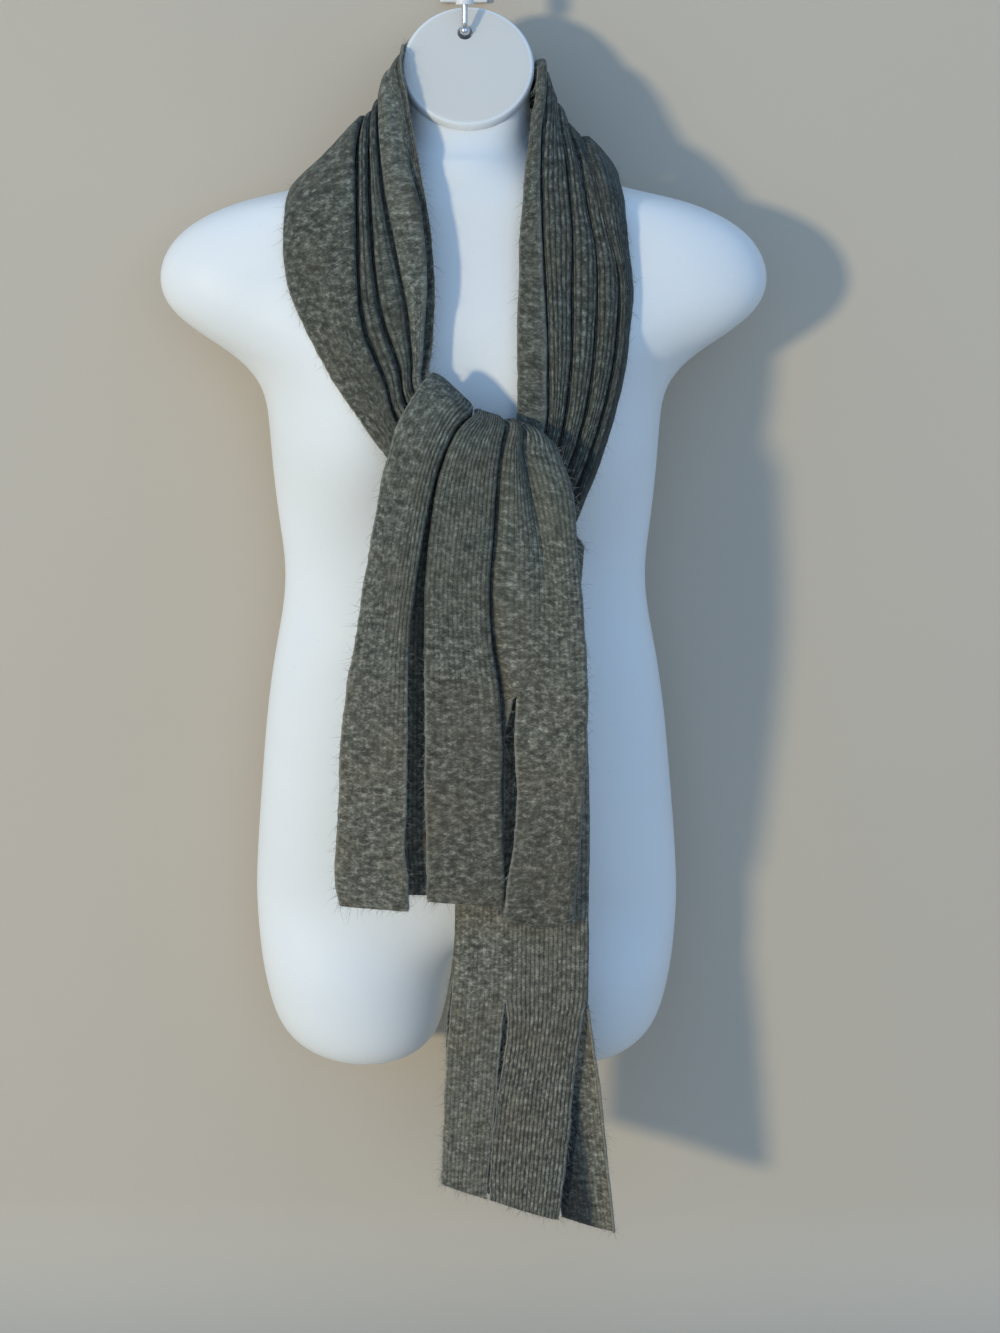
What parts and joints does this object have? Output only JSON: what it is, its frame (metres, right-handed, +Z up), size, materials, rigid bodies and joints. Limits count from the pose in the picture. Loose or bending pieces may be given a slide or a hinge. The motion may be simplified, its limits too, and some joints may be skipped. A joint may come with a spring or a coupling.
{
  "type": "rib-knit scarf on a hanging torso form with a wall hook",
  "caption": "Grey rib-knit scarf with ends cut into strips, knotted round the neck of a limbless white torso form that hangs from a wall hook.",
  "frame": {"origin": "middle of the wall plate's back face", "axes": "+X to the viewer's right, +Y into the wall, so the front of the form and the scarf face -Y, +Z up"},
  "size_m": [0.466, 0.1959, 1.0033],
  "materials": {
    "form_plastic": "satin white moulded plastic",
    "plate_plastic": "plain white moulded plastic",
    "hook_steel": "bright plated wire",
    "grey_wool": "heather grey wool rib knit, felted and slightly hairy"
  },
  "bodies": {
    "root": {"form": "form_plastic", "wall_plate": "plate_plastic", "hook_wire": "hook_steel", "neck_back": "grey_wool", "strand_left": "grey_wool", "strand_right": "grey_wool", "knot_turn": "grey_wool", "front_end": "grey_wool", "long_end": "grey_wool"}
  },
  "joints": []
}
